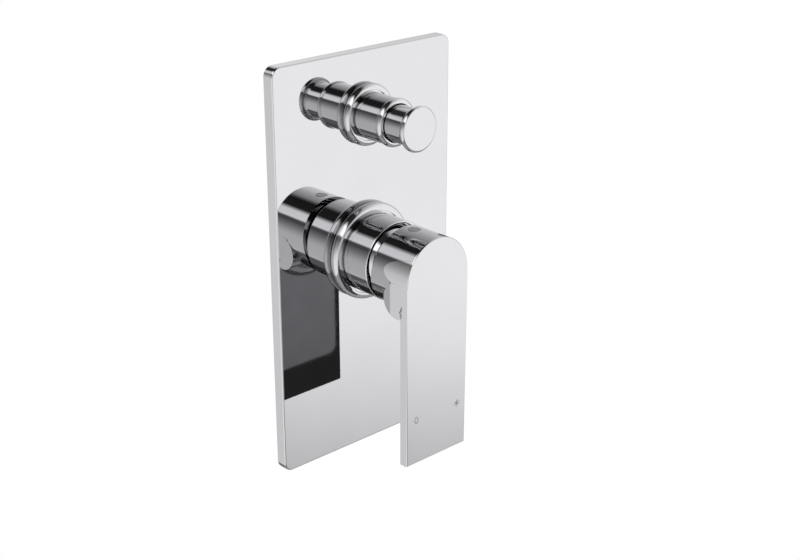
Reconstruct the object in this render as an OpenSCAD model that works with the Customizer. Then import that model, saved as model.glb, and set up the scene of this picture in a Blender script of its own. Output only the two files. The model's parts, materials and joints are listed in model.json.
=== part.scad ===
// Concealed bath mixer: single-lever mixer and push-pull diverter on one trim plate.
// Millimetres. The finished wall is the plane y = 0, the room is at -Y, up is +Z.
// The origin is the mixer axis on the wall. Places along the two axes are heights above
// the wall, toward the room.

/* [Trim plate] */
// Width of the trim plate
plate_w = 112; // [80:1:160]
// Height of the trim plate
plate_h = 208; // [160:1:260]
// Depth of the trim plate from wall to front face
plate_t = 6; // [4:0.5:12]
// Corner radius of the trim plate
plate_r = 5; // [2:0.5:15]
// Bevel round the front edge
plate_bevel = 0.9; // [0.4:0.1:2]
// Thickness of the front skin and of the rim
plate_skin = 1.8; // [1:0.1:3]

/* [Axes] */
// Distance from the mixer axis up to the diverter axis
diverter_z = 70; // [50:1:90]
// Distance from the mixer axis down to the middle of the plate
plate_drop = 3; // [0:1:20]

/* [Mixer trim] */
// Outer radius of the mixer sleeve
sleeve_r = 20.4; // [18:0.1:26]
// Length of the mixer sleeve in front of the plate
sleeve_len = 22.6; // [15:0.1:40]
// Outer radius of the rounded mixer collar ring
ring_r = 25; // [22:0.1:32]
// Length of the mixer collar ring
ring_len = 5.4; // [3:0.1:8]

/* [Lever] */
// Radius of the lever hub and half the width of the lever
hub_r = 20; // [17:0.1:25]
// Distance from the plate to the flat front of the lever
lever_reach = 51.4; // [40:0.1:80]
// Length of the lever below the mixer axis
lever_drop = 96; // [60:1:130]
// Thickness of the hanging paddle
paddle_t = 4.8; // [3:0.1:8]
// Gap between sleeve and hub at the top
gap_top = 6; // [4:0.1:8]
// Gap between sleeve and hub at the bottom
gap_bottom = 0.5; // [0.3:0.1:2]
// Radius of the concave blend from hub to paddle
blend_r = 8; // [4:0.5:12]
// Distance from the lever front to the plug on top of the hub
plug_back = 16.5; // [12:0.5:20]

/* [Diverter trim] */
// Outer radius of the diverter sleeve
div_sleeve_r = 11.4; // [10:0.1:16]
// Distance from the plate to the end of the diverter sleeve
div_sleeve_len = 23.4; // [15:0.1:35]
// Outer radius of the rounded diverter collar ring
div_ring_r = 15.4; // [13:0.1:20]
// Length of the diverter collar ring
div_ring_len = 4.6; // [3:0.1:8]
// Distance from the plate to the face of the pushed-in knob
knob_reach = 38.4; // [28:0.1:60]
// Radius of the knob disc
knob_r = 11.1; // [9:0.1:16]
// Thickness of the knob disc
knob_t = 2.6; // [2:0.1:5]
// Radius of the knob neck
neck_r = 9.1; // [7:0.1:12]

/* [Cartridge] */
// Outer radius of the cartridge
cart_r = 14; // [12:0.5:20]
// Depth of the cartridge seat behind the wall plane
seat_depth = 12; // [8:1:20]
// Height of the lever pivot above the wall plane
pivot_h = 13; // [8:0.5:20]
// Width of the square spindle
spindle_w = 8; // [6:0.5:9]

/* [Ports] */
// Bore radius of a half-inch female pipe thread
port_bore_r = 9.3; // [8:0.1:10]
// Outer radius of a port boss
port_boss_r = 11.5; // [11:0.5:15]
// Thread depth of each port
port_depth = 9.5; // [8:0.5:14]
// Distance from the mixer axis to the end of each inlet
inlet_reach = 29.5; // [28:0.5:60]
// Distance from the mixer axis down to the spout outlet
spout_drop = 52; // [40:1:80]
// Distance from the diverter axis up to the shower outlet
shower_rise = 19; // [18:1:40]

/* [Clearances] */
// Radial clearance of a running fit
run_fit = 0.1; // [0.03:0.01:0.2]
// Radial clearance of a located fit
seat_fit = 0.05; // [0.02:0.01:0.1]
// Free gap round pieces that only pass each other
pass_gap = 0.4; // [0.3:0.1:1]

/* [Hidden] */
$fn = 96;
eps = 0.01;
front_h = plate_t;
mixer_z = 0;
sleeve_end = front_h + sleeve_len;
lever_front = front_h + lever_reach;
div_end = front_h + div_sleeve_len;
knob_front = front_h + knob_reach;

// plate
rim_inset = plate_skin;
recess_depth = plate_t - plate_skin;
seal_w = 5;
seal_gap = 0.2;
seal_inner_r = 1.5;
boss_wall = 3.4;

// valve body collar, the tube that carries the cartridge
collar_r = 17.6;
collar_top = 20;
nut_thread_r = 16.2;
cart_bore_r = cart_r + 0.15;
chamber_r = 20;
body_back = 39;
plate_hole_r = collar_r + 0.6;
div_hole_r = 9.9;
collar_groove_h = 8.2;
groove_w = 2.6;
groove_r = 15.95;

// sleeve
sleeve_bore = sleeve_r - 2;
sleeve_land = collar_r + seat_fit;
land_from = 12.5;
land_to = 17;
lip_inner = sleeve_r - 1.3;
oring_minor = 1.15;

// cartridge
nut_shoulder = 12;
neck_outer = 11.5;
neck_bore = 9.8;
neck_top = 16;
housing_in = 12.1;
roof_h = 9.8;
floor_t = 2.5;
disc_t = 3.4;
disc_plane = -seat_depth + floor_t + disc_t;
moving_t = 3;
moving_r = 9.6;
moving_lift = 1.75;
face_gap = 0.05;
carrier_base = disc_plane + face_gap + moving_t;
carrier_t = 3.2;
key_w = 13;
key_t = 1.4;
rotor_base = carrier_base + carrier_t + 0.15;
rotor_r = housing_in - 0.1;
rotor_top = 24;
slot_w = spindle_w + 2 * pass_gap;
slot_z = 15;
ball_r = 2.7;
ball_h = carrier_base + ball_r + 0.15;
pocket_r = 3.1;
pin_r = 1.6;
port_r = 3;
hot_port = [-6.8, -2];
cold_port = [6.8, -2];
mixed_port = [0, 7];

// dome cap over the cartridge nut
cap_r = 18.1;
cap_base = 21;
cap_hole = 12;
dome_center = 12;
dome_r = 22.7;
cap_wall = 1.1;
nut_hex_r = 16.9;
nut_flange_h = 23;

// lever
hub_bore = 17.4;
cavity_end = lever_front - paddle_t;
boss_r = 9;
boss_from = 37;
hub_rear_mid = sleeve_end + (gap_top + gap_bottom) / 2;
hub_tilt = atan((gap_top - gap_bottom) / (2 * hub_r));
lobe_r = 9;
lobe_back = 7.6;
lobe_drop = 9.4;
plug_h = lever_front - plug_back;
plug_r = 3.1;
grub_r = 2.5;
edge_bevel = 0.7;
paddle_half = hub_r - 0.05;
spindle_top = 46;
socket_w = spindle_w + 2 * seat_fit;

// diverter
bonnet_r = 9.6;
bonnet_low = -3.6;
bonnet_top = 13;
guide_r = 6.6;
guide_top = 23;
knob_bore = 7.3;
knob_tail = 18.5;
stem_r = 3;
boss_low = 32;
stem_seat = 4;
div_bore = 8;
div_chamber_r = 14.5;
div_sleeve_bore = 10;
div_end_bore = neck_r + pass_gap;
bead_r = 1.9;
valve_disc_r = 6.4;
valve_disc_t = 2.4;
valve_seal_t = 1.4;
front_seat_h = -14;
rear_seat_h = -25;
seat_web = 2;
div_floor = -37;
div_seat_r = 5;
travel = 6;
front_valve_h = front_seat_h + face_gap;
rear_valve_h = rear_seat_h - seat_web - face_gap - travel;
stem_tail = rear_valve_h - valve_seal_t - valve_disc_t;
spring_r = 4.9;
spring_wire = 0.7;
spring_turns = 6;
spring_pocket_top = 10;
div_oring_h = 9.5;
div_oring_minor = 0.9;
stem_oring_h = 17;
stem_oring_minor = 0.58;

// waterways in the valve body
web_w = 26;
web_front = 7;
inlet_y = 16;
inlet_way_r = 3.6;
mixed_y = 20.5;
mixed_way_r = 4;
bath_y = 33;
bath_way_r = 3.4;
spout_y = 29;
shower_y = 9.5;
shower_way_r = 3.5;
shower_boss_y = 13;

// lugs and screws
lug_x = 25;
lug_z = -22;
lug_t = 5;
lug_y = 8;
lug_r = 6.5;
lug_web = 2 * lug_r - 1;
screw_r = 2.4;
screw_head_r = 4.2;
screw_head_t = 3;
screw_len = 14;
screw_tip = 3.5;

// colours
chrome = [0.78, 0.79, 0.81];
brass = [0.80, 0.66, 0.36];
rubber = [0.12, 0.12, 0.13];
plastic = [0.90, 0.90, 0.87];
ceramic = [0.95, 0.94, 0.90];
steel = [0.62, 0.63, 0.66];

// Puts a solid drawn along +Z onto an axis that points from the wall into the room.
module on_axis(z) {
  translate([0, 0, z]) rotate([90, 0, 0]) children();
}

// Ring of round section on an axis, at height h.
module round_ring(z, h, major, minor) {
  on_axis(z) translate([0, 0, h]) rotate_extrude() translate([major, 0]) circle(r = minor, $fn = 32);
}

// Plain tube or disc between two heights.
module tube(z, h1, h2, outer, inner) {
  on_axis(z) translate([0, 0, h1]) difference() {
    cylinder(h = h2 - h1, r = outer);
    translate([0, 0, -1]) cylinder(h = h2 - h1 + 2, r = inner);
  }
}

module plate_outline(inset, radius) {
  w = plate_w - 2 * inset;
  h = plate_h - 2 * inset;
  square([w - 2 * radius, h], center = true);
  square([w, h - 2 * radius], center = true);
  for (x = [-1, 1], y = [-1, 1]) {
    translate([x * (w / 2 - radius), y * (h / 2 - radius)]) circle(r = radius);
  }
}

// Cross-section of a slab with its two front edges bevelled.
module bevelled_slab(width) {
  polygon([
    [-width / 2, 0], [width / 2, 0], [width / 2, plate_t - plate_bevel],
    [width / 2 - plate_bevel, plate_t], [-width / 2 + plate_bevel, plate_t],
    [-width / 2, plate_t - plate_bevel]
  ]);
}

module bevelled_plate() {
  inner_w = plate_w - 2 * plate_r;
  inner_h = plate_h - 2 * plate_r;
  translate([0, 0, -inner_h / 2]) linear_extrude(inner_h) mirror([0, 1, 0]) bevelled_slab(plate_w);
  translate([-inner_w / 2, 0, 0]) rotate([90, 0, 90]) linear_extrude(inner_w)
    rotate([0, 0, 90]) bevelled_slab(plate_h);
  for (x = [-1, 1], z = [-1, 1]) {
    translate([x * inner_w / 2, 0, z * inner_h / 2]) rotate([90, 0, 0]) {
      cylinder(h = plate_t - plate_bevel, r = plate_r);
      translate([0, 0, plate_t - plate_bevel])
        cylinder(h = plate_bevel, r1 = plate_r, r2 = plate_r - plate_bevel);
    }
  }
}

module trim_plate() {
  color(chrome) difference() {
    translate([0, 0, -plate_drop]) bevelled_plate();
    difference() {
      on_axis(-plate_drop) translate([0, 0, -1]) linear_extrude(recess_depth + 1)
        plate_outline(rim_inset, plate_r - rim_inset);
      on_axis(mixer_z) cylinder(h = recess_depth, r = plate_hole_r + boss_wall);
      on_axis(diverter_z) cylinder(h = recess_depth, r = div_hole_r + boss_wall);
    }
    on_axis(mixer_z) translate([0, 0, -1]) cylinder(h = plate_t + 2, r = plate_hole_r);
    on_axis(diverter_z) translate([0, 0, -1]) cylinder(h = plate_t + 2, r = div_hole_r);
  }
}

module plate_seal() {
  outer_inset = rim_inset + seal_gap;
  color(rubber) on_axis(-plate_drop) difference() {
    linear_extrude(recess_depth) plate_outline(outer_inset, plate_r - outer_inset);
    translate([0, 0, -1]) linear_extrude(recess_depth + 2)
      plate_outline(outer_inset + seal_w, seal_inner_r);
  }
}

// Rounded bead ring that sits on the plate round a sleeve.
module bead_ring(z, outer, length, bore) {
  ring_groove = 0.9;
  round_r = length / 2;
  on_axis(z) translate([0, 0, front_h]) rotate_extrude() difference() {
    union() {
      translate([bore, 0]) square([outer - round_r - bore, length]);
      translate([outer - round_r, round_r]) circle(r = round_r, $fn = 48);
    }
    translate([0, -1]) square([bore, length + 2]);
    translate([bore - eps, length - ring_groove]) square([ring_groove, 1]);
  }
}

module mixer_collar_ring() {
  color(chrome) bead_ring(mixer_z, ring_r, ring_len, sleeve_r + seat_fit);
}

module diverter_collar_ring() {
  color(chrome) bead_ring(diverter_z, div_ring_r, div_ring_len, div_sleeve_r + seat_fit);
}

module mixer_sleeve() {
  lip_r = 0.6;
  color(chrome) on_axis(mixer_z) rotate_extrude() {
    difference() {
      translate([sleeve_bore, front_h]) square([sleeve_r - sleeve_bore, sleeve_len - lip_r]);
      translate([sleeve_bore - eps, sleeve_end - 3]) square([lip_inner - sleeve_bore, 4]);
    }
    translate([sleeve_r - lip_r, sleeve_end - lip_r]) circle(r = lip_r, $fn = 32);
    translate([lip_inner, sleeve_end - lip_r - eps]) square([sleeve_r - lip_r - lip_inner, lip_r + eps]);
    translate([sleeve_land, land_from]) square([sleeve_bore - sleeve_land + eps, land_to - land_from]);
  }
}

module mixer_sleeve_oring() {
  color(rubber) round_ring(mixer_z, collar_groove_h + groove_w / 2,
    sleeve_bore - seat_fit - oring_minor, oring_minor);
}

// Sleeve with a rounded bead at its open end.
module diverter_sleeve() {
  bead_from = div_end - 2 * bead_r;
  color(chrome) on_axis(diverter_z) rotate_extrude() difference() {
    union() {
      translate([div_sleeve_bore, front_h]) square([div_sleeve_r - div_sleeve_bore, bead_from - front_h + eps]);
      translate([div_end_bore, bead_from]) square([div_sleeve_r - bead_r + 0.5 - div_end_bore, 2 * bead_r]);
      translate([div_sleeve_r - bead_r + 0.5, bead_from + bead_r]) circle(r = bead_r, $fn = 40);
    }
    square([div_end_bore, 100]);
  }
}

module diverter_sleeve_oring() {
  color(rubber) round_ring(diverter_z, div_oring_h,
    div_sleeve_bore - seat_fit - div_oring_minor, div_oring_minor);
}

module port_boss(length) {
  cylinder(h = length, r = port_boss_r);
}

module port_bore() {
  lead = 0.8;
  translate([0, 0, -port_depth]) cylinder(h = port_depth + 1, r = port_bore_r);
  translate([0, 0, -lead]) cylinder(h = lead + eps, r1 = port_bore_r, r2 = port_bore_r + lead);
}

module body_outside() {
  on_axis(mixer_z) {
    translate([0, 0, -body_back]) cylinder(h = body_back, r = chamber_r);
    translate([0, 0, -1]) cylinder(h = collar_top + 1, r = collar_r);
  }
  on_axis(diverter_z) translate([0, 0, -body_back]) cylinder(h = body_back, r = div_chamber_r);
  translate([-web_w / 2, web_front, mixer_z]) cube([web_w, body_back - web_front, diverter_z - mixer_z]);
  for (side = [-1, 1]) {
    translate([0, inlet_y, mixer_z + hot_port[1]]) rotate([0, side * 90, 0]) port_boss(inlet_reach);
    translate([side * lug_x, lug_y, mixer_z + lug_z]) rotate([-90, 0, 0]) cylinder(h = lug_t, r = lug_r);
    translate([side * lug_x / 2, lug_y + lug_t / 2, mixer_z + lug_z])
      cube([lug_x, lug_t, lug_web], center = true);
  }
  translate([0, spout_y, mixer_z - spout_drop]) port_boss(spout_drop);
  translate([0, shower_boss_y, diverter_z]) port_boss(shower_rise);
}

// Chambers bored along the two axes.
module body_chambers() {
  on_axis(mixer_z) {
    translate([0, 0, -seat_depth]) cylinder(h = 60, r = cart_bore_r);
    translate([0, 0, nut_shoulder]) cylinder(h = 20, r = nut_thread_r);
  }
  on_axis(diverter_z) {
    translate([0, 0, div_floor]) cylinder(h = rear_seat_h - seat_web - div_floor, r = div_bore);
    translate([0, 0, rear_seat_h]) cylinder(h = front_seat_h - seat_web - rear_seat_h, r = div_bore);
    translate([0, 0, front_seat_h]) cylinder(h = 40, r = div_bore);
    translate([0, 0, div_floor]) cylinder(h = 40, r = div_seat_r);
  }
}

// Waterways: hot and cold in, mixed water up, shower up and spout down.
module body_passages() {
  for (side = [-1, 1]) {
    translate([side * inlet_reach, inlet_y, mixer_z + hot_port[1]]) rotate([0, side * 90, 0]) port_bore();
    translate([side * (cold_port[0] - inlet_way_r), inlet_y, mixer_z + hot_port[1]])
      rotate([0, side * 90, 0]) cylinder(h = inlet_reach - port_depth, r = inlet_way_r);
    translate([side * cold_port[0], seat_depth - 1, mixer_z + cold_port[1]])
      rotate([-90, 0, 0]) cylinder(h = inlet_y - seat_depth + 1, r = port_r);
    translate([side * lug_x, 0, mixer_z + lug_z]) rotate([-90, 0, 0]) cylinder(h = 20, r = screw_r + 0.3);
  }
  translate([mixed_port[0], seat_depth - 1, mixer_z + mixed_port[1]])
    rotate([-90, 0, 0]) cylinder(h = mixed_y - seat_depth + 1, r = port_r);
  translate([0, mixed_y, mixer_z + mixed_port[1] - port_r - 1])
    cylinder(h = diverter_z - mixer_z - mixed_port[1] + port_r + 1, r = mixed_way_r);
  translate([0, bath_y, mixer_z - spout_drop + port_depth - 1])
    cylinder(h = diverter_z - mixer_z + spout_drop - port_depth + 1, r = bath_way_r);
  translate([0, spout_y, mixer_z - spout_drop]) mirror([0, 0, 1]) port_bore();
  translate([0, shower_boss_y, diverter_z + shower_rise]) port_bore();
  translate([0, shower_y, diverter_z]) cylinder(h = shower_rise - port_depth + 1, r = shower_way_r);
}

// Groove in the collar for the sleeve seal.
module collar_groove() {
  tube(mixer_z, collar_groove_h, collar_groove_h + groove_w, collar_r + 1, groove_r);
}

module valve_body() {
  color(brass) difference() {
    body_outside();
    body_chambers();
    body_passages();
    collar_groove();
  }
}

module body_screw(side) {
  color(steel) translate([side * lug_x, 0, mixer_z + lug_z]) rotate([-90, 0, 0]) {
    translate([0, 0, lug_y - screw_head_t]) difference() {
      cylinder(h = screw_head_t, r = screw_head_r);
      translate([0, 0, -1]) cylinder(h = screw_head_t - 0.4, r = 2, $fn = 6);
    }
    translate([0, 0, lug_y - eps]) cylinder(h = screw_len, r = screw_r);
    translate([0, 0, lug_y + screw_len - 2 * eps]) cylinder(h = screw_tip, r1 = screw_r, r2 = 0.4);
  }
}

module body_screw_left() { body_screw(-1); }

module body_screw_right() { body_screw(1); }

module port_rings(offset_r) {
  for (p = [hot_port, cold_port, mixed_port]) {
    translate([p[0], p[1]]) circle(r = port_r + offset_r);
  }
}

module cartridge_base_seal() {
  seal_h = 1;
  color(rubber) on_axis(mixer_z) translate([0, 0, -seat_depth]) linear_extrude(seal_h) difference() {
    port_rings(1.1);
    port_rings(0);
  }
}

module cartridge_housing() {
  color(plastic) on_axis(mixer_z) difference() {
    union() {
      translate([0, 0, -seat_depth]) cylinder(h = seat_depth + nut_shoulder, r = cart_r);
      translate([0, 0, nut_shoulder - eps]) cylinder(h = neck_top - nut_shoulder + eps, r = neck_outer);
    }
    translate([0, 0, -seat_depth + floor_t]) cylinder(h = seat_depth - floor_t + roof_h, r = housing_in);
    translate([0, 0, roof_h - eps]) cylinder(h = 10, r = neck_bore);
    translate([0, 0, -seat_depth - eps]) linear_extrude(1 + eps) port_rings(1.15);
    translate([0, 0, -seat_depth - 1]) linear_extrude(floor_t + 2) port_rings(0);
  }
}

module fixed_ceramic_disc() {
  color(ceramic) on_axis(mixer_z) translate([0, 0, -seat_depth + floor_t]) linear_extrude(disc_t) difference() {
    circle(r = housing_in - seat_fit);
    port_rings(-0.3);
  }
}

module cartridge_nut() {
  color(brass) on_axis(mixer_z) difference() {
    union() {
      translate([0, 0, nut_shoulder]) cylinder(h = nut_flange_h - nut_shoulder, r = nut_thread_r - seat_fit);
      translate([0, 0, collar_top]) cylinder(h = nut_flange_h - collar_top, r = nut_hex_r, $fn = 6);
    }
    translate([0, 0, nut_shoulder - 1]) cylinder(h = 20, r = neck_outer + seat_fit);
  }
}

// Chrome dome that hides the cartridge nut, with stepped rings that show in the lever gap.
module cartridge_cap() {
  skirt_top = dome_center + sqrt(dome_r * dome_r - cap_r * cap_r);
  color(chrome) on_axis(mixer_z) difference() {
    rotate_extrude() difference() {
      union() {
        translate([0, cap_base]) square([cap_r, skirt_top - cap_base]);
        intersection() {
          translate([0, dome_center]) circle(r = dome_r);
          translate([0, cap_base]) square([cap_r, 20]);
        }
      }
      intersection() {
        translate([0, dome_center]) circle(r = dome_r - cap_wall);
        square([cap_r - cap_wall, 60]);
      }
      translate([-1, 0]) square([cap_hole + 1, 60]);
      translate([cap_r - 0.7, skirt_top - 1.6]) square([2, 0.7]);
    }
  }
}

module diverter_bonnet() {
  groove_half = div_oring_minor + 0.1;
  color(brass) on_axis(diverter_z) difference() {
    union() {
      translate([0, 0, bonnet_low]) cylinder(h = bonnet_top - bonnet_low, r = div_bore - seat_fit);
      cylinder(h = bonnet_top, r = bonnet_r);
      translate([0, 0, bonnet_top - eps]) cylinder(h = guide_top - bonnet_top + eps, r = guide_r);
    }
    translate([0, 0, bonnet_low - 1]) cylinder(h = 60, r = stem_r + run_fit);
    translate([0, 0, bonnet_low - 1])
      cylinder(h = spring_pocket_top - bonnet_low + 1, r = spring_r + spring_wire + pass_gap);
    tube_groove(div_oring_h - groove_half, div_oring_h + groove_half, bonnet_r + 1,
      div_sleeve_bore - 2 * div_oring_minor - 0.15);
    translate([0, 0, stem_oring_h - 1]) cylinder(h = 2, r = stem_r + run_fit + 2 * stem_oring_minor + 0.1);
  }
}

module tube_groove(h1, h2, outer, inner) {
  translate([0, 0, h1]) difference() {
    cylinder(h = h2 - h1, r = outer);
    translate([0, 0, -1]) cylinder(h = h2 - h1 + 2, r = inner);
  }
}

module bonnet_stem_oring() {
  color(rubber) round_ring(diverter_z, stem_oring_h,
    stem_r + run_fit + stem_oring_minor + 0.04, stem_oring_minor);
}

module cartridge_rotor() {
  color(plastic) on_axis(mixer_z) difference() {
    union() {
      translate([0, 0, rotor_base]) cylinder(h = roof_h - 0.1 - rotor_base, r = rotor_r);
      translate([0, 0, roof_h - 0.2]) cylinder(h = rotor_top - roof_h + 0.2, r = neck_bore - run_fit);
    }
    translate([-slot_w / 2, -slot_z / 2, rotor_base - 1]) cube([slot_w, slot_z, 60]);
    translate([-key_w / 2 - 0.2, -rotor_r - 1, rotor_base - 1])
      cube([key_w + 0.4, 2 * rotor_r + 2, key_t + 1.3]);
    translate([0, 0, pivot_h]) rotate([0, 90, 0]) cylinder(h = 40, r = pin_r + seat_fit, center = true);
  }
}

module lever_pivot_pin() {
  color(steel) translate([0, -pivot_h, mixer_z]) rotate([0, 90, 0])
    cylinder(h = 2 * (neck_bore - 0.9), r = pin_r, center = true);
}

module lever_spindle() {
  shank = 4.6;
  color(steel) on_axis(mixer_z) difference() {
    union() {
      translate([0, 0, ball_h]) sphere(r = ball_r, $fn = 48);
      translate([0, 0, ball_h]) cylinder(h = pivot_h - ball_h, r = 1.9);
      translate([-spindle_w / 2, -shank, pivot_h - 4]) cube([spindle_w, 2 * shank, 8]);
      translate([-spindle_w / 2, -spindle_w / 2, pivot_h]) cube([spindle_w, spindle_w, spindle_top - pivot_h]);
    }
    translate([0, 0, pivot_h]) rotate([0, 90, 0]) cylinder(h = 20, r = pin_r + run_fit, center = true);
  }
}

// Round hub of the lever with a bevelled front edge and a slanted back.
module hub_solid() {
  root = sleeve_end - 4;
  difference() {
    rotate_extrude() polygon([
      [0, root], [hub_r, root], [hub_r, lever_front - edge_bevel],
      [hub_r - edge_bevel, lever_front], [0, lever_front]
    ]);
    translate([0, 0, hub_rear_mid]) rotate([hub_tilt, 0, 0])
      translate([-2 * hub_r, -2 * hub_r, -30]) cube([4 * hub_r, 4 * hub_r, 30]);
  }
}

// Hanging paddle with bevelled front edges, and the lobes at the sides of the hub.
module paddle_solid() {
  back = lever_front - paddle_t;
  difference() {
    rotate([90, 0, 0]) linear_extrude(lever_drop) polygon([
      [-paddle_half, back], [paddle_half, back], [paddle_half, lever_front - edge_bevel],
      [paddle_half - edge_bevel, lever_front], [edge_bevel - paddle_half, lever_front],
      [-paddle_half, lever_front - edge_bevel]
    ]);
    translate([0, -lever_drop, lever_front]) rotate([45, 0, 0])
      cube([4 * hub_r, edge_bevel * sqrt(2), edge_bevel * sqrt(2)], center = true);
  }
  translate([-paddle_half, 0, 0]) rotate([90, 0, 90]) linear_extrude(2 * paddle_half) intersection() {
    translate([-lobe_drop, lever_front - lobe_back]) circle(r = lobe_r);
    translate([-lever_drop, 0]) square([lever_drop, lever_front - paddle_t / 2]);
  }
}

// Concave blend between the underside of the hub and the back of the paddle.
module hub_blend() {
  back = lever_front - paddle_t;
  intersection() {
    rotate_extrude() difference() {
      translate([hub_r - 1, back - blend_r]) square([blend_r + 1, blend_r + 1]);
      translate([hub_r + blend_r, back - blend_r]) circle(r = blend_r);
    }
    translate([-paddle_half, -lever_drop, 0]) cube([2 * paddle_half, lever_drop, lever_front]);
  }
}

module lever_handle() {
  color(chrome) on_axis(mixer_z) difference() {
    union() {
      difference() {
        union() {
          hub_solid();
          paddle_solid();
          hub_blend();
        }
        cylinder(h = cavity_end, r = hub_bore);
      }
      translate([0, 0, boss_from]) cylinder(h = cavity_end + 1 - boss_from, r = boss_r);
    }
    translate([-socket_w / 2, -socket_w / 2, 0]) cube([socket_w, socket_w, spindle_top + 0.2]);
    translate([0, spindle_w / 2, plug_h]) rotate([-90, 0, 0]) cylinder(h = 20, r = grub_r + seat_fit);
    translate([0, hub_bore - 2, plug_h]) rotate([-90, 0, 0]) cylinder(h = 20, r = plug_r + seat_fit);
  }
}

module lever_grub_screw() {
  tip = spindle_w / 2 + seat_fit;
  color(steel) on_axis(mixer_z) translate([0, tip, plug_h]) rotate([-90, 0, 0]) difference() {
    cylinder(h = 5.5, r = grub_r);
    translate([0, 0, 3]) cylinder(h = 4, r = 1.4, $fn = 6);
  }
}

module index_plug() {
  color(rubber) on_axis(mixer_z) translate([0, hub_bore, plug_h]) rotate([-90, 0, 0])
    cylinder(h = hub_r - hub_bore, r = plug_r);
}

module disc_carrier() {
  color(plastic) on_axis(mixer_z) difference() {
    union() {
      translate([0, moving_lift, carrier_base]) cylinder(h = carrier_t, r = moving_r);
      translate([-key_w / 2, moving_lift - 7, carrier_base + carrier_t - eps])
        cube([key_w, 14, key_t + eps]);
    }
    translate([0, 0, carrier_base - 1]) cylinder(h = 10, r = pocket_r);
  }
}

// The hollow under the moving disc joins the mixed port to the hot and cold ports.
module moving_ceramic_disc() {
  hollow_t = 1.6;
  color(ceramic) on_axis(mixer_z) translate([0, moving_lift, disc_plane + face_gap]) difference() {
    cylinder(h = moving_t, r = moving_r);
    translate([0, 0, -1]) linear_extrude(hollow_t + 1) {
      circle(r = 4.8);
      translate([-3, 0]) square([6, 4.5]);
      translate([0, 4.5]) circle(r = 3);
    }
  }
}

module diverter_stem() {
  color(brass) on_axis(diverter_z) translate([0, 0, stem_tail])
    cylinder(h = knob_front - stem_seat - stem_tail, r = stem_r);
}

module diverter_knob() {
  rim = knob_t / 2;
  flare = 2.2;
  boss_wall_r = stem_r + 2.2;
  disc_back = knob_front - knob_t;
  color(chrome) on_axis(diverter_z) rotate_extrude() difference() {
    union() {
      translate([0, knob_tail]) square([neck_r, disc_back - knob_tail + eps]);
      translate([0, disc_back]) square([knob_r - rim, knob_t]);
      translate([knob_r - rim, disc_back + rim]) circle(r = rim, $fn = 40);
      difference() {
        translate([neck_r - eps, disc_back - flare]) square([knob_r - rim - neck_r, flare + eps]);
        translate([neck_r + flare, disc_back - flare]) circle(r = flare, $fn = 48);
      }
    }
    translate([boss_wall_r, boss_low - eps]) square([knob_bore - boss_wall_r, knob_front - stem_seat - boss_low]);
    translate([0, knob_tail - 1]) square([stem_r + seat_fit, knob_front - stem_seat - knob_tail + 1]);
    translate([0, knob_tail - 1]) square([knob_bore, boss_low - knob_tail + 1]);
  }
}

// Disc and seal that close the front seat while the knob is pushed in.
module front_valve_disc() {
  base = front_valve_h + valve_seal_t;
  color(brass) tube(diverter_z, base, base + valve_disc_t, valve_disc_r, stem_r + seat_fit);
}

module front_valve_seal() {
  color(rubber) tube(diverter_z, front_valve_h, front_valve_h + valve_seal_t, valve_disc_r, stem_r + seat_fit);
}

// Disc and seal that close the rear seat once the knob is pulled out.
module rear_valve_disc() {
  top = rear_valve_h - valve_seal_t;
  color(brass) tube(diverter_z, top - valve_disc_t, top, valve_disc_r, stem_r + seat_fit);
}

module rear_valve_seal() {
  color(rubber) tube(diverter_z, rear_valve_h - valve_seal_t, rear_valve_h, valve_disc_r, stem_r + seat_fit);
}

// Return spring of flat section wire between the front disc and the bonnet.
module diverter_spring() {
  low = front_valve_h + valve_seal_t + valve_disc_t + face_gap;
  length = spring_pocket_top - low - face_gap;
  arc = 110;
  color(steel) on_axis(diverter_z) translate([0, 0, low])
    linear_extrude(height = length, twist = -360 * spring_turns, slices = spring_turns * 16, $fn = 12)
    intersection() {
      difference() {
        circle(r = spring_r + spring_wire, $fn = 24);
        circle(r = spring_r - spring_wire, $fn = 24);
      }
      polygon([[0, 0], [20, 0], [20 * cos(arc / 2), 20 * sin(arc / 2)], [20 * cos(arc), 20 * sin(arc)]]);
    }
}

trim_plate();
plate_seal();
mixer_collar_ring();
mixer_sleeve();
mixer_sleeve_oring();
diverter_collar_ring();
diverter_sleeve();
diverter_sleeve_oring();
valve_body();
body_screw_left();
body_screw_right();
cartridge_base_seal();
cartridge_housing();
fixed_ceramic_disc();
cartridge_nut();
cartridge_cap();
diverter_bonnet();
bonnet_stem_oring();
cartridge_rotor();
lever_pivot_pin();
lever_spindle();
lever_handle();
lever_grub_screw();
index_plug();
disc_carrier();
moving_ceramic_disc();
diverter_stem();
diverter_knob();
front_valve_disc();
front_valve_seal();
rear_valve_disc();
rear_valve_seal();
diverter_spring();
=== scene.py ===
import json
import math

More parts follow.
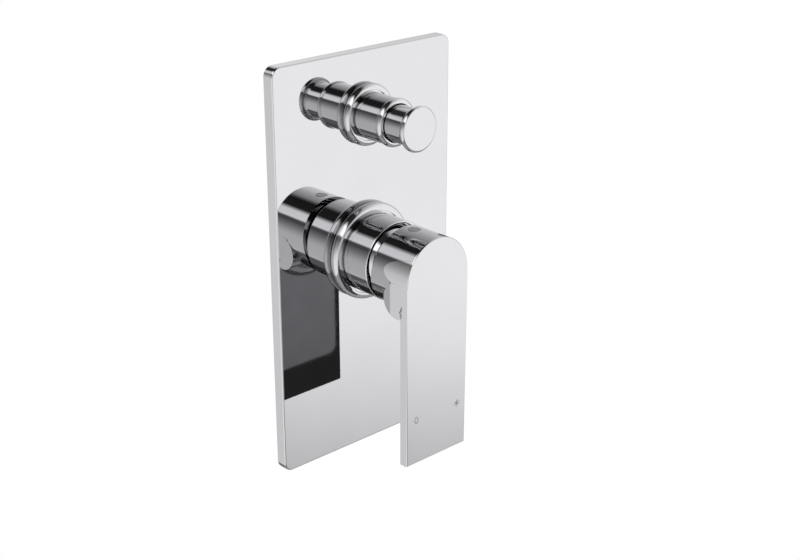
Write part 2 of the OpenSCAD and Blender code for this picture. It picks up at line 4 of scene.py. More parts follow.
import bmesh
import bpy
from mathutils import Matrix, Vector


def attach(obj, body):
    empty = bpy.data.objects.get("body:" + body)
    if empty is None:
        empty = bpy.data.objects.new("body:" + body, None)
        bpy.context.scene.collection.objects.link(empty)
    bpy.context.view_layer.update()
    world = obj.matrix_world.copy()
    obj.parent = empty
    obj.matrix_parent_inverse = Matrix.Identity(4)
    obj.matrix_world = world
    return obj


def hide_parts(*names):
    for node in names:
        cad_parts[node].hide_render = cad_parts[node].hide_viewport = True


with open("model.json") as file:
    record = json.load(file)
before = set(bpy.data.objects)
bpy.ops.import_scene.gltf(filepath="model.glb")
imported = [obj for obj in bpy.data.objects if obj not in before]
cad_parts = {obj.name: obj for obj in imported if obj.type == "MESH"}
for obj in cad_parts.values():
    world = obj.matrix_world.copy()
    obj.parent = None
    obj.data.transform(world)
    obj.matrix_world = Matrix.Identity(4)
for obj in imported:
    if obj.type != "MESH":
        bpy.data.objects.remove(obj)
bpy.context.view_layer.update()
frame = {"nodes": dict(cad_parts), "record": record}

mm = 0.001
wall = {"plateFront": 6.0, "mixerZ": 0.0, "diverterZ": 70.0, "plateDrop": 3.0}


# small helpers, used by every piece

def clearSelection():
    if bpy.context.object and bpy.context.object.mode != "OBJECT":
        bpy.ops.object.mode_set(mode="OBJECT")
    bpy.ops.object.select_all(action="DESELECT")


def pickOnly(piece):
    clearSelection()
    piece.select_set(True)
    bpy.context.view_layer.objects.active = piece


def settle(piece, name):
    # the object goes to the origin, its place stays in the mesh
    pickOnly(piece)
    bpy.ops.object.transform_apply(location=True, rotation=True, scale=True)
    piece.name = name
    piece.data.name = name
    return piece


def applyModifier(piece, kind, **settings):
    pickOnly(piece)
    modifier = piece.modifiers.new(kind.title(), kind)
    for key, value in settings.items():
        setattr(modifier, key, value)
    bpy.ops.object.modifier_apply(modifier=modifier.name)


def join(piece, other, how):
    # boolean with a second solid, which is then removed
    applyModifier(piece, "BOOLEAN", object=other, operation=how, solver="EXACT")
    bpy.data.objects.remove(other, do_unlink=True)


def cleanUp(piece, angle=0.0008):
    # merges the flat parts that a boolean leaves cut up
    pickOnly(piece)
    bpy.ops.object.mode_set(mode="EDIT")
    bpy.ops.mesh.select_all(action="SELECT")
    bpy.ops.mesh.remove_doubles(threshold=2e-6)
    bpy.ops.mesh.dissolve_limited(angle_limit=angle)
    bpy.ops.mesh.normals_make_consistent(inside=False)
    bpy.ops.object.mode_set(mode="OBJECT")


def smoothPolish(piece, degrees=32, weighted=True):
    pickOnly(piece)
    bpy.ops.object.shade_smooth_by_angle(angle=math.radians(degrees))
    if weighted:
        applyModifier(piece, "WEIGHTED_NORMAL", mode="FACE_AREA", weight=50, keep_sharp=True)


def dress(piece, material, body, *nodes, slot=None):
    piece.data.materials.clear()
    piece.data.materials.append(material)
    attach(piece, body)
    if nodes:
        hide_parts(*nodes)
    return piece


def arc(radius, height, size, start, end, steps):
    # points of a rounding in a turned profile: angle 0 points outward, 90 into the room
    points = []
    for step in range(steps + 1):
        angle = math.radians(start + (end - start) * step / steps)
        points.append((radius + size * math.cos(angle), height + size * math.sin(angle)))
    return points


def turned(name, axisZ, profile, segments=192, capStart=False, capEnd=False, shade=32, weighted=True):
    # a ring on the axis, extruded and scaled from point to point of the profile (radius, height)
    clearSelection()
    radius, height = profile[0]
    bpy.ops.mesh.primitive_circle_add(
        vertices=segments, radius=radius * mm, location=(0, -height * mm, axisZ * mm),
        rotation=(math.pi / 2, 0, 0), fill_type="NGON" if capStart else "NOTHING")
    piece = settle(bpy.context.object, name)
    bpy.ops.object.mode_set(mode="EDIT")
    bpy.ops.mesh.select_mode(type="EDGE")
    bpy.ops.mesh.select_all(action="SELECT")
    if capStart:
        bpy.ops.mesh.duplicate()
        bpy.ops.mesh.delete(type="ONLY_FACE")
        bpy.ops.mesh.select_all(action="DESELECT")
        shape = bmesh.from_edit_mesh(piece.data)
        for edge in shape.edges:
            edge.select = not edge.link_faces
        bmesh.update_edit_mesh(piece.data)
    for nextRadius, nextHeight in profile[1:]:
        bpy.ops.mesh.extrude_edges_move(
            TRANSFORM_OT_translate={"value": (0, -(nextHeight - height) * mm, 0)})
        grow = nextRadius / radius
        if abs(grow - 1) > 1e-9:
            bpy.ops.transform.resize(
                value=(grow, 1, grow), center_override=(0, -nextHeight * mm, axisZ * mm))
        radius, height = nextRadius, nextHeight
    if capEnd:
        bpy.ops.mesh.edge_face_add()
    bpy.ops.mesh.select_all(action="SELECT")
    bpy.ops.mesh.remove_doubles(threshold=2e-7)
    bpy.ops.mesh.normals_make_consistent(inside=False)
    bpy.ops.object.mode_set(mode="OBJECT")
    if shade:
        smoothPolish(piece, shade, weighted)
    return piece


def rod(axisZ, radius, low, high, segments=192):
    # plain cutter or core on an axis, between two heights above the wall
    clearSelection()
    bpy.ops.mesh.primitive_cylinder_add(
        vertices=segments, radius=radius * mm, depth=(high - low) * mm,
        location=(0, -(low + high) / 2 * mm, axisZ * mm), rotation=(math.pi / 2, 0, 0))
    return settle(bpy.context.object, "rod")


def block(low, high):
    # plain box between two corners, in millimetres of the row's frame
    clearSelection()
    bpy.ops.mesh.primitive_cube_add(
        size=1, location=[(a + b) / 2 * mm for a, b in zip(low, high)],
        scale=[(b - a) * mm for a, b in zip(low, high)])
    return settle(bpy.context.object, "block")


def bevelEdges(piece, chosen, width, segments, profile=0.5):
    # rounds the edges that the test picks by their two end points, in millimetres
    pickOnly(piece)
    bpy.ops.object.mode_set(mode="EDIT")
    bpy.ops.mesh.select_mode(type="EDGE")
    bpy.ops.mesh.select_all(action="DESELECT")
    shape = bmesh.from_edit_mesh(piece.data)
    for edge in shape.edges:
        ends = [vert.co / mm for vert in edge.verts]
        edge.select = bool(chosen(ends[0], ends[1], edge))
    bmesh.update_edit_mesh(piece.data)
    bpy.ops.mesh.bevel(offset=width * mm, offset_type="OFFSET", segments=segments,
                       profile=profile, affect="EDGES", clamp_overlap=False)
    bpy.ops.object.mode_set(mode="OBJECT")


# materials

def newMaterial(name):
    material = bpy.data.materials.new(name)
    material.use_nodes = True
    tree = material.node_tree
    tree.nodes.clear()
    output = tree.nodes.new("ShaderNodeOutputMaterial")
    shader = tree.nodes.new("ShaderNodeBsdfPrincipled")
    tree.links.new(shader.outputs["BSDF"], output.inputs["Surface"])
    return material, tree, shader


def addNoise(tree, scale, detail=3.0):
    coords = tree.nodes.new("ShaderNodeTexCoord")
    noise = tree.nodes.new("ShaderNodeTexNoise")
    noise.inputs["Scale"].default_value = scale
    noise.inputs["Detail"].default_value = detail
    tree.links.new(coords.outputs["Object"], noise.inputs["Vector"])
    return noise


def mapRange(tree, source, low, high):
    spread = tree.nodes.new("ShaderNodeMapRange")
    spread.inputs["From Min"].default_value = 0.3
    spread.inputs["From Max"].default_value = 0.7
    spread.inputs["To Min"].default_value = low
    spread.inputs["To Max"].default_value = high
    tree.links.new(source, spread.inputs["Value"])
    return spread.outputs["Result"]


def surface(name, look):
    # one finish: colour with a slight drift, roughness and bump from noise in the piece's own space
    material, tree, shader = newMaterial(name)
    shader.inputs["Metallic"].default_value = look.get("metal", 0.0)
    drift = addNoise(tree, look["driftScale"])
    ramp = tree.nodes.new("ShaderNodeValToRGB")
    ramp.color_ramp.elements[0].position = 0.3
    ramp.color_ramp.elements[1].position = 0.7
    ramp.color_ramp.elements[0].color = (*look["colour"], 1)
    ramp.color_ramp.elements[1].color = (*look["colourTo"], 1)
    tree.links.new(drift.outputs["Fac"], ramp.inputs["Fac"])
    tree.links.new(ramp.outputs["Color"], shader.inputs["Base Color"])
    grain = addNoise(tree, look["grainScale"], 4.0)
    tree.links.new(mapRange(tree, grain.outputs["Fac"], *look["rough"]), shader.inputs["Roughness"])
    bump = tree.nodes.new("ShaderNodeBump")
    bump.inputs["Strength"].default_value = look["bump"]
    bump.inputs["Distance"].default_value = look["depth"]
    tree.links.new(grain.outputs["Fac"], bump.inputs["Height"])
    tree.links.new(bump.outputs["Normal"], shader.inputs["Normal"])
    if "coat" in look:
        shader.inputs["Coat Weight"].default_value = look["coat"]
        shader.inputs["Coat Roughness"].default_value = 0.08
    return material


looks = {
    "chrome": {"metal": 1.0, "colour": (0.500, 0.500, 0.512), "colourTo": (0.512, 0.512, 0.523),
               "driftScale": 40, "grainScale": 900, "rough": (0.012, 0.028), "bump": 0.02, "depth": 0.00002},
    # painted shade: a darker chrome for the hub's bore and the back of the paddle
    "paintedShadeChrome": {"metal": 1.0, "colour": (0.27, 0.27, 0.28), "colourTo": (0.30, 0.30, 0.31),
                    "driftScale": 60, "grainScale": 700, "rough": (0.04, 0.09), "bump": 0.05, "depth": 0.00005},
    "brass": {"metal": 1.0, "colour": (0.62, 0.44, 0.18), "colourTo": (0.70, 0.52, 0.24),
              "driftScale": 120, "grainScale": 1400, "rough": (0.28, 0.46), "bump": 0.35, "depth": 0.00020},
    "steel": {"metal": 1.0, "colour": (0.42, 0.42, 0.43), "colourTo": (0.52, 0.52, 0.53),
              "driftScale": 300, "grainScale": 2500, "rough": (0.18, 0.34), "bump": 0.15, "depth": 0.00008},
    "rubber": {"colour": (0.012, 0.012, 0.013), "colourTo": (0.020, 0.020, 0.021),
               "driftScale": 250, "grainScale": 3000, "rough": (0.45, 0.65), "bump": 0.25, "depth": 0.00008},
    "plastic": {"colour": (0.72, 0.72, 0.68), "colourTo": (0.80, 0.80, 0.76),
                "driftScale": 120, "grainScale": 2200, "rough": (0.30, 0.42), "bump": 0.12, "depth": 0.00006},
    "ceramic": {"colour": (0.80, 0.79, 0.75), "colourTo": (0.87, 0.86, 0.82),
                "driftScale": 200, "grainScale": 2600, "rough": (0.10, 0.20), "bump": 0.06, "depth": 0.00004},
    "plug": {"colour": (0.10, 0.10, 0.11), "colourTo": (0.14, 0.14, 0.15),
             "driftScale": 300, "grainScale": 2600, "rough": (0.10, 0.18), "bump": 0.05,
             "depth": 0.00004, "coat": 0.6},
    "mark": {"colour": (0.16, 0.16, 0.17), "colourTo": (0.22, 0.22, 0.23),
             "driftScale": 900, "grainScale": 4000, "rough": (0.35, 0.50), "bump": 0.10, "depth": 0.00003},
}
finishes = {name: surface(name, look) for name, look in looks.items()}
print("materials made:", len(finishes))

slotFinish = {
    "polished_chrome": "chrome", "brass": "brass",
    "black_rubber": "rubber", "cartridge_plastic": "plastic", "stainless_steel": "steel", "ceramic": "ceramic",
}


def dressNodes():
    # the solids that stay as they are get the finish of their slot in the record
    for part in frame["record"]["subparts"]:
        node = frame["nodes"][part["node"]]
        finish = slotFinish.get(part["material_slot"], "steel")
        for slot in node.material_slots:
            slot.material = finishes[finish]


dressNodes()


# trim plate

plate = {"width": 112.0, "height": 208.0, "depth": 6.0, "corner": 5.0, "edge": 0.9,
         "rim": 1.8, "recess": 4.2, "mixerHole": 18.2, "diverterHole": 9.9, "bossWall": 3.4}


def makeTrimPlate(size):
    half, middle = size["width"] / 2, -wall["plateDrop"]
    top, bottom = middle + size["height"] / 2, middle - size["height"] / 2
    piece = block((-half, -size["depth"], bottom), (half, 0, top))
    bevelEdges(piece, lambda a, b, edge: abs(a.y - b.y) > 1, size["corner"], 14)
    bevelEdges(piece, lambda a, b, edge: a.y < -5.9 and b.y < -5.9, size["edge"], 4, 0.5)
    # hollow back
    pickOnly(piece)
    bpy.ops.object.mode_set(mode="EDIT")
    bpy.ops.mesh.select_mode(type="FACE")
    bpy.ops.mesh.select_all(action="DESELECT")
    shape = bmesh.from_edit_mesh(piece.data)
    shape.faces.ensure_lookup_table()
    for face in shape.faces:
        face.select = face.normal.y > 0.99
    bmesh.update_edit_mesh(piece.data)
    bpy.ops.mesh.inset(thickness=size["rim"] * mm)
    bpy.ops.mesh.extrude_region_move(TRANSFORM_OT_translate={"value": (0, -size["recess"] * mm, 0)})
    bpy.ops.object.mode_set(mode="OBJECT")
    for axisZ, hole in ((wall["mixerZ"], size["mixerHole"]), (wall["diverterZ"], size["diverterHole"])):
        join(piece, rod(axisZ, hole + size["bossWall"], 0, size["recess"] + 0.9), "UNION")
        join(piece, rod(axisZ, hole, -2, size["depth"] + 2), "DIFFERENCE")
    cleanUp(piece)
    settle(piece, "trimPlate")
    smoothPolish(piece)
    return dress(piece, finishes["chrome"], "base", "trim_plate", slot="polished_chrome")


makeTrimPlate(plate)
print("trim plate done")


# collar rings and sleeves

mixerRing = {"outer": 25.0, "length": 5.4, "bore": 20.45, "groove": 0.9}
diverterRing = {"outer": 15.4, "length": 4.6, "bore": 11.45, "groove": 0.9}


def makeRing(name, node, axisZ, size, segments):
    front, length, bore = wall["plateFront"], size["length"], size["bore"]
    bead = length / 2
    groove = bore + size["groove"]
    profile = [(bore, front), (size["outer"] - bead, front)]
    profile += arc(size["outer"] - bead, front + bead, bead, -90, 90, 28)[1:]
    profile += [(groove + 0.15, front + length), (groove, front + length - 0.12),
                (groove, front + length - size["groove"]), (bore, front + length - size["groove"]),
                (bore, front)]
    piece = turned(name, axisZ, profile, segments)
    return dress(piece, finishes["chrome"], "base", node, slot="polished_chrome")


makeRing("mixerCollarRing", "mixer_collar_ring", wall["mixerZ"], mixerRing, 224)
makeRing("diverterCollarRing", "diverter_collar_ring", wall["diverterZ"], diverterRing, 192)

mixerSleeve = {"outer": 20.4, "length": 22.6, "wall": 2.0, "lip": 1.3, "lipDepth": 3.0,
               "land": 17.65, "landFrom": 12.5, "landTo": 17.0, "edge": 0.6}


def makeMixerSleeve(size):
    front = wall["plateFront"]
    end, outer, bore = front + size["length"], size["outer"], size["outer"] - size["wall"]
    lip, edge = outer - size["lip"], size["edge"]
    profile = [(bore, front), (outer, front), (outer, end - edge)]
    profile += arc(outer - edge, end - edge, edge, 0, 90, 8)[1:]
    profile += [(lip + 0.15, end), (lip, end - 0.15), (lip, end - size["lipDepth"]),
                (bore, end - size["lipDepth"]), (bore, size["landTo"]), (size["land"], size["landTo"]),
                (size["land"], size["landFrom"]), (bore, size["landFrom"]), (bore, front)]
    piece = turned("mixerSleeve", wall["mixerZ"], profile, 224)
    return dress(piece, finishes["chrome"], "base", "mixer_sleeve", slot="polished_chrome")


makeMixerSleeve(mixerSleeve)

diverterSleeve = {"outer": 11.4, "length": 23.4, "bore": 10.0, "mouth": 9.5, "bead": 1.9, "beadOut": 0.5}


def makeDiverterSleeve(size):
    front = wall["plateFront"]
    end, bead = front + size["length"], size["bead"]
    middle, centre = end - bead, size["outer"] - bead + size["beadOut"]
    meet = math.degrees(math.asin(math.sqrt(bead ** 2 - (size["outer"] - centre) ** 2) / bead))
    profile = [(size["bore"], front), (size["outer"], front)]
    profile += arc(centre, middle, bead, -meet, 90, 24)
    profile += [(size["mouth"] + 0.12, end), (size["mouth"], end - 0.12), (size["mouth"], end - 2 * bead),
                (size["bore"], end - 2 * bead), (size["bore"], front)]
    piece = turned("diverterSleeve", wall["diverterZ"], profile, 192)
    return dress(piece, finishes["chrome"], "base", "diverter_sleeve", slot="polished_chrome")


makeDiverterSleeve(diverterSleeve)
print("rings and sleeves done")


# domed cap over the cartridge

domeCap = {"outer": 18.1, "base": 21.0, "hole": 12.0, "domeCentre": 12.0, "domeRadius": 22.7, "wall": 1.1}


def makeCap(size):
    outer, hole, centre, dome = size["outer"], size["hole"], size["domeCentre"], size["domeRadius"]
    start = math.degrees(math.acos(outer / dome))
    finish = math.degrees(math.acos(hole / dome))
    inner = dome - size["wall"]
    innerStart = math.degrees(math.acos((outer - size["wall"]) / inner))
    innerEnd = math.degrees(math.acos(hole / inner))
    profile = [(outer, size["base"])] + arc(0, centre, dome, start, finish, 20)
    profile += arc(0, centre, inner, innerEnd, innerStart, 20)
    profile += [(outer - size["wall"], size["base"]), (outer, size["base"])]
    piece = turned("cartridgeCap", wall["mixerZ"], profile, 192)
    return dress(piece, finishes["chrome"], "base", "cartridge_cap", slot="polished_chrome")


makeCap(domeCap)
print("cap done")


# lever

lever = {"radius": 20.0, "front": 57.4, "drop": 96.0, "paddle": 4.8, "blend": 8.0, "edge": 0.7,
         "lobe": 9.0, "lobeBack": 7.6, "lobeDrop": 9.4, "bore": 17.4, "bossRadius": 9.0, "bossFrom": 37.0,
         "socket": 4.05, "socketEnd": 46.2, "gapTop": 6.0, "gapBottom": 0.5, "sleeveEnd": 28.6,
         "plugHeight": 40.9, "plugHole": 3.15, "grubHole": 2.55, "softEdge": 0.25}


def makeLever(size):
    radius, front = size["radius"], size["front"]
    back = front - size["paddle"]
    side = radius - 0.005
    root = size["sleeveEnd"] - 4
    piece = rod(0, radius, root, front, 288)
    # slanted back of the hub
    rise = (size["gapTop"] - size["gapBottom"]) / (2 * radius)
    middle = size["sleeveEnd"] + (size["gapTop"] + size["gapBottom"]) / 2
    tilt = math.atan(rise)
    pickOnly(piece)
    bpy.ops.object.mode_set(mode="EDIT")
    bpy.ops.mesh.select_all(action="SELECT")
    bpy.ops.mesh.bisect(plane_co=(0, -middle * mm, 0), plane_no=(0, math.cos(tilt), math.sin(tilt)),
                        use_fill=True, clear_outer=True)
    bpy.ops.object.mode_set(mode="OBJECT")
    # hanging paddle
    join(piece, block((-side, -front, -size["drop"]), (side, -back, 0)), "UNION")
    # lobes at the sides of the hub
    clearSelection()
    bpy.ops.mesh.primitive_cylinder_add(
        vertices=160, radius=size["lobe"] * mm, depth=2 * side * mm,
        location=(0, -(front - size["lobeBack"]) * mm, -size["lobeDrop"] * mm), rotation=(0, math.pi / 2, 0))
    lobe = settle(bpy.context.object, "lobe")
    join(lobe, block((-side - 5, -front - 5, -40), (side + 5, -(front - 2), 5)), "DIFFERENCE")
    join(piece, lobe, "UNION")
    # concave blend under the hub
    blend = size["blend"] + 0.005
    start, reach = back - size["blend"], radius + size["blend"]
    profile = [(radius - 3, start), (reach - blend, start)]
    profile += arc(reach, start, blend, 180, 90, 40)[1:]
    profile += [(reach, back + 1), (radius - 3, back + 1), (radius - 3, start)]
    flare = turned("flare", 0, profile, 288, shade=None)
    pickOnly(flare)
    bpy.ops.object.mode_set(mode="EDIT")
    for place, normal in (((side * mm, 0, 0), (1, 0, 0)), ((-side * mm, 0, 0), (-1, 0, 0)),
                          ((0, 0, -0.5 * mm), (0, 0, 1))):
        bpy.ops.mesh.select_all(action="SELECT")
        bpy.ops.mesh.bisect(plane_co=place, plane_no=normal, use_fill=True, clear_outer=True)
    bpy.ops.object.mode_set(mode="OBJECT")
    join(piece, flare, "UNION")
    # bore, boss and square socket behind the front
    join(piece, rod(0, size["bore"], 10, back, 256), "DIFFERENCE")
    join(piece, rod(0, size["bossRadius"], size["bossFrom"], back + 1, 128), "UNION")
    socket = size["socket"]
    join(piece, block((-socket, -size["socketEnd"], -socket), (socket, -10, socket)), "DIFFERENCE")
    clearSelection()
    bpy.ops.mesh.primitive_cylinder_add(
        vertices=96, radius=size["plugHole"] * mm, depth=20 * mm, location=(0, -size["plugHeight"] * mm, 25.4 * mm))
    join(piece, settle(bpy.context.object, "plugHole"), "DIFFERENCE")
    clearSelection()
    bpy.ops.mesh.primitive_cylinder_add(
        vertices=64, radius=size["grubHole"] * mm, depth=16 * mm, location=(0, -size["plugHeight"] * mm, 12 * mm))
    join(piece, settle(bpy.context.object, "grubHole"), "DIFFERENCE")
    cleanUp(piece)
    # rounded front edge
    bevelEdges(piece, lambda a, b, edge: a.y < -front + 0.01 and b.y < -front + 0.01
               and len(edge.link_faces) == 2 and edge.calc_face_angle(0) > 1, size["edge"], 4)
    settle(piece, "leverHandle")
    smoothPolish(piece)
    piece.data.materials.clear()
    dress(piece, finishes["chrome"], "lever", "lever_handle", slot="polished_chrome")
    # painted shade: the inside of the hub and the back of the paddle get a darker chrome, standing in for the shade
    # in the bore and on the faces turned to the wall
    piece.data.materials.append(finishes["paintedShadeChrome"])
    for face in piece.data.polygons:
        middleOf = face.center / mm
        inBore = math.hypot(middleOf.x, middleOf.z) < size["bore"] + 0.2 and middleOf.y > -back - 0.1
        behind = face.normal.y > 0.95 and middleOf.z < -radius
        if inBore or behind:
            face.material_index = 1
    return piece


makeLever(lever)
print("lever done")

plugLook = {"radius": 3.1, "base": 17.4, "top": 20.0, "height": 40.9, "edge": 0.35}


def makePlug(size):
    # round plug over the grub screw, modelled standing up on the hub
    clearSelection()
    bpy.ops.mesh.primitive_cylinder_add(
        vertices=96, radius=size["radius"] * mm, depth=(size["top"] - size["base"]) * mm,
        location=(0, -size["height"] * mm, (size["top"] + size["base"]) / 2 * mm))
    piece = settle(bpy.context.object, "indexPlug")
    bevelEdges(piece, lambda a, b, edge: a.z > size["top"] - 0.01 and b.z > size["top"] - 0.01, size["edge"], 4)
    smoothPolish(piece)
    return dress(piece, finishes["plug"], "lever", "index_plug", slot="black_rubber")


makePlug(plugLook)

marks = {"front": 57.4, "proud": 0.02, "hotX": -13.65, "coldX": 14.05, "z": -71.9,
         "hotWidth": 2.5, "hotHeight": 3.6, "coldSize": 1.9, "stroke": 0.42}


def makeHotMark(size):
    # a drop drawn as a thin ring
    clearSelection()
    bpy.ops.mesh.primitive_circle_add(
        vertices=64, radius=size["hotWidth"] / 2 * mm, location=(size["hotX"] * mm, -size["front"] * mm, size["z"] * mm),
        rotation=(math.pi / 2, 0, 0))
    piece = settle(bpy.context.object, "hotMark")
    bpy.ops.object.mode_set(mode="EDIT")
    bpy.ops.mesh.select_all(action="SELECT")
    centre = (size["hotX"] * mm, -size["front"] * mm, size["z"] * mm)
    bpy.ops.transform.resize(value=(1, 1, size["hotHeight"] / size["hotWidth"]), center_override=centre)
    inner = 1 - 2 * size["stroke"] / size["hotWidth"]
    innerZ = 1 - 2 * size["stroke"] / size["hotHeight"]
    bpy.ops.mesh.extrude_edges_move(TRANSFORM_OT_translate={"value": (0, 0, 0)})
    bpy.ops.transform.resize(value=(inner, 1, innerZ), center_override=centre)
    bpy.ops.mesh.select_all(action="SELECT")
    bpy.ops.mesh.extrude_region_move(TRANSFORM_OT_translate={"value": (0, -size["proud"] * mm, 0)})
    bpy.ops.mesh.select_all(action="SELECT")
    bpy.ops.mesh.normals_make_consistent(inside=False)
    bpy.ops.object.mode_set(mode="OBJECT")
    smoothPolish(piece, 30)
    return dress(piece, finishes["mark"], "lever")


def makeColdMark(size):
    # six arms round one point
    arms = []
    for turn in range(3):
        clearSelection()
        bpy.ops.mesh.primitive_cube_add(
            size=1, location=(size["coldX"] * mm, -(size["front"] + size["proud"] / 2) * mm, size["z"] * mm),
            rotation=(0, math.radians(90 + 60 * turn), 0),
            scale=(2 * size["coldSize"] * mm, size["proud"] * mm, size["stroke"] * mm))
        arms.append(settle(bpy.context.object, "coldArm"))
    piece = arms[0]
    for arm in arms[1:]:
        join(piece, arm, "UNION")
    settle(piece, "coldMark")
    smoothPolish(piece, 30)
    return dress(piece, finishes["mark"], "lever")


makeHotMark(marks)
makeColdMark(marks)
print("plug and marks done")


# diverter knob

knob = {"front": 44.4, "disc": 11.1, "thick": 2.6, "neck": 9.1, "flare": 2.2, "tail": 18.5, "bore": 7.3}


def makeKnob(size):
    rim = size["thick"] / 2
    back = size["front"] - size["thick"]
    flareStart = back - size["flare"]
    profile = [(size["bore"], size["tail"]), (size["neck"] - 0.2, size["tail"]), (size["neck"], size["tail"] + 0.2),
               (size["neck"], flareStart)]
    reach = min(size["flare"], size["disc"] - rim - size["neck"])
    stop = math.degrees(math.acos((size["flare"] - reach) / size["flare"]))
    profile += arc(size["neck"] + size["flare"], flareStart, size["flare"], 180, 180 - stop, 12)[1:]
    profile += arc(size["disc"] - rim, back + rim, rim, -90, 90, 28)
    piece = turned("diverterKnob", wall["diverterZ"], profile, 192, capEnd=True, shade=None)
    # the open tail is closed by the bore's floor, deep inside
    pickOnly(piece)
    bpy.ops.object.mode_set(mode="EDIT")
    bpy.ops.mesh.select_mode(type="EDGE")
    bpy.ops.mesh.select_all(action="DESELECT")
    shape = bmesh.from_edit_mesh(piece.data)
    for edge in shape.edges:
        edge.select = len(edge.link_faces) == 1
    bmesh.update_edit_mesh(piece.data)
    bpy.ops.mesh.extrude_edges_move(TRANSFORM_OT_translate={"value": (0, -(back - 4 - size["tail"]) * mm, 0)})
    bpy.ops.mesh.edge_face_add()
    bpy.ops.mesh.select_all(action="SELECT")
    bpy.ops.mesh.normals_make_consistent(inside=False)
    bpy.ops.object.mode_set(mode="OBJECT")
    smoothPolish(piece)
    return dress(piece, finishes["chrome"], "diverter", "diverter_knob", slot="polished_chrome")


makeKnob(knob)
print("knob done")


# floor, camera, light

floorLook = {"drop": 0.9, "half": 0.8, "colour": (0.78, 0.78, 0.78), "colourTo": (0.80, 0.80, 0.80),
             "driftScale": 3, "grainScale": 60, "rough": (0.55, 0.7), "bump": 0.05, "depth": 0.0005}


def makeFloor(size):
    clearSelection()
    bpy.ops.mesh.primitive_plane_add(size=2 * size["half"], location=(0, -0.1, -size["drop"]))
    floor = settle(bpy.context.object, "floor")
    floor.data.materials.append(surface("floor", size))


makeFloor(floorLook)

view = {"place": (-0.42470, -0.49389, 0.24806), "along": (0.62532, 0.68211, -0.37908), "lens": 62.08}


def makeCamera(size):
    camera = bpy.data.objects.new("camera", bpy.data.cameras.new("camera"))
    bpy.context.scene.collection.objects.link(camera)
    camera.location = size["place"]
    camera.rotation_euler = Vector(size["along"]).to_track_quat("-Z", "Y").to_euler()
    camera.data.sensor_fit = "HORIZONTAL"
    camera.data.sensor_width = 36
    camera.data.lens = size["lens"]
    camera.data.clip_start = 0.01
    bpy.context.scene.camera = camera


makeCamera(view)

# brightness of the studio round the object's own axis, in degrees from straight up toward the left
studio = {
    "room": [(-180, 0.24), (-166, 0.14), (-158, 0.40), (-146, 0.70), (-134, 1.50), (-120, 1.55), (-100, 1.55),
             (-64, 1.48), (-48, 1.18), (-34, 0.90), (-22, 0.66), (-15, 0.28), (-8, 0.03), (22, 0.04), (28, 0.9),
             (33, 2.0), (52, 2.15), (57, 0.20), (64, 0.18), (80, 0.58), (96, 1.12), (106, 1.36), (140, 1.40),
             (149, 1.50), (151, 0.30), (176, 0.26), (180, 0.24)],
    "wallSide": [(-180, 0.24), (-150, 0.10), (-120, 0.09), (-90, 0.20), (-64, 1.20), (-34, 0.90), (-20, 0.60),
                 (-8, 0.03), (22, 0.04), (33, 1.0), (52, 1.1), (57, 0.20), (80, 0.60), (96, 0.95), (120, 1.10),
                 (149, 1.0), (153, 0.30), (180, 0.24)],
    "ahead": 0.85, "behind": 0.55,
}


def ringRamp(tree, angle, stops):
    ramp = tree.nodes.new("ShaderNodeValToRGB")
    elements = ramp.color_ramp.elements
    peak = 2.5
    for index, (degrees, level) in enumerate(stops):
        position = (degrees + 180) / 360
        if index == 0:
            element = elements[0]
            element.position = position
        elif index == len(stops) - 1:
            element = elements[-1]
            element.position = position
        else:
            element = elements.new(position)
        element.color = (level / peak, level / peak, level / peak, 1)
    tree.links.new(angle, ramp.inputs["Fac"])
    scale = tree.nodes.new("ShaderNodeMath")
    scale.operation = "MULTIPLY"
    scale.inputs[1].default_value = peak
    tree.links.new(ramp.outputs["Color"], scale.inputs[0])
    return scale.outputs["Value"]


def mathNode(tree, operation, first, second=None):
    node = tree.nodes.new("ShaderNodeMath")
    node.operation = operation
    for index, value in enumerate((first, second)):
        if value is None:
            continue
        if isinstance(value, (int, float)):
            node.inputs[index].default_value = value
        else:
            tree.links.new(value, node.inputs[index])
    return node.outputs["Value"]


def smoothStep(tree, value, low, high, lowOut, highOut):
    node = tree.nodes.new("ShaderNodeMapRange")
    node.interpolation_type = "SMOOTHSTEP"
    node.inputs["From Min"].default_value = low
    node.inputs["From Max"].default_value = high
    node.inputs["To Min"].default_value = lowOut
    node.inputs["To Max"].default_value = highOut
    tree.links.new(value, node.inputs["Value"])
    return node.outputs["Result"]


def blendValues(tree, factor, first, second):
    node = tree.nodes.new("ShaderNodeMix")
    tree.links.new(factor, node.inputs["Factor"])
    for index, value in ((2, first), (3, second)):
        if isinstance(value, (int, float)):
            node.inputs[index].default_value = value
        else:
            tree.links.new(value, node.inputs[index])
    return node.outputs[0]


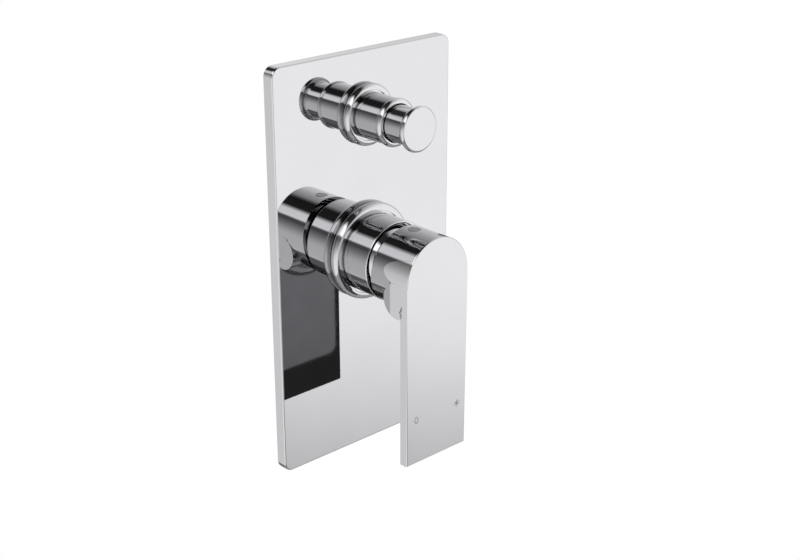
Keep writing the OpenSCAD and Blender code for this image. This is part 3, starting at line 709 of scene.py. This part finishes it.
def makeLight(size):
    world = bpy.data.worlds.new("studio")
    bpy.context.scene.world = world
    world.use_nodes = True
    tree = world.node_tree
    tree.nodes.clear()
    output = tree.nodes.new("ShaderNodeOutputWorld")
    coords = tree.nodes.new("ShaderNodeTexCoord")
    split = tree.nodes.new("ShaderNodeSeparateXYZ")
    tree.links.new(coords.outputs["Generated"], split.inputs["Vector"])
    x, y, z = split.outputs["X"], split.outputs["Y"], split.outputs["Z"]
    turn = mathNode(tree, "ARCTAN2", mathNode(tree, "MULTIPLY", x, -1.0), z)
    angle = mathNode(tree, "ADD", mathNode(tree, "DIVIDE", turn, 2 * math.pi), 0.5)
    room = ringRamp(tree, angle, size["room"])
    # the room gets darker towards the floor on the right
    low = smoothStep(tree, z, -0.60, -0.37, 0.35, 1.0)
    right = smoothStep(tree, x, 0.0, 0.35, 0.0, 1.0)
    room = mathNode(tree, "MULTIPLY", room, blendValues(tree, right, 1.0, low))
    wallSide = ringRamp(tree, angle, size["wallSide"])
    room = blendValues(tree, smoothStep(tree, y, -0.97, -0.86, 1.0, 0.0), room, size["ahead"])
    wallSide = blendValues(tree, smoothStep(tree, y, 0.86, 0.97, 0.0, 1.0), wallSide, size["behind"])
    level = blendValues(tree, smoothStep(tree, y, -0.15, 0.15, 0.0, 1.0), room, wallSide)
    light = tree.nodes.new("ShaderNodeBackground")
    light.inputs["Color"].default_value = (1, 1, 1, 1)
    tree.links.new(level, light.inputs["Strength"])
    plain = tree.nodes.new("ShaderNodeBackground")
    plain.inputs["Color"].default_value = (1, 1, 1, 1)
    plain.inputs["Strength"].default_value = 1.0
    path = tree.nodes.new("ShaderNodeLightPath")
    mix = tree.nodes.new("ShaderNodeMixShader")
    tree.links.new(path.outputs["Is Camera Ray"], mix.inputs["Fac"])
    tree.links.new(light.outputs["Background"], mix.inputs[1])
    tree.links.new(plain.outputs["Background"], mix.inputs[2])
    tree.links.new(mix.outputs["Shader"], output.inputs["Surface"])


makeLight(studio)
bpy.context.scene.view_settings.view_transform = "Standard"
print("floor, camera and light done")
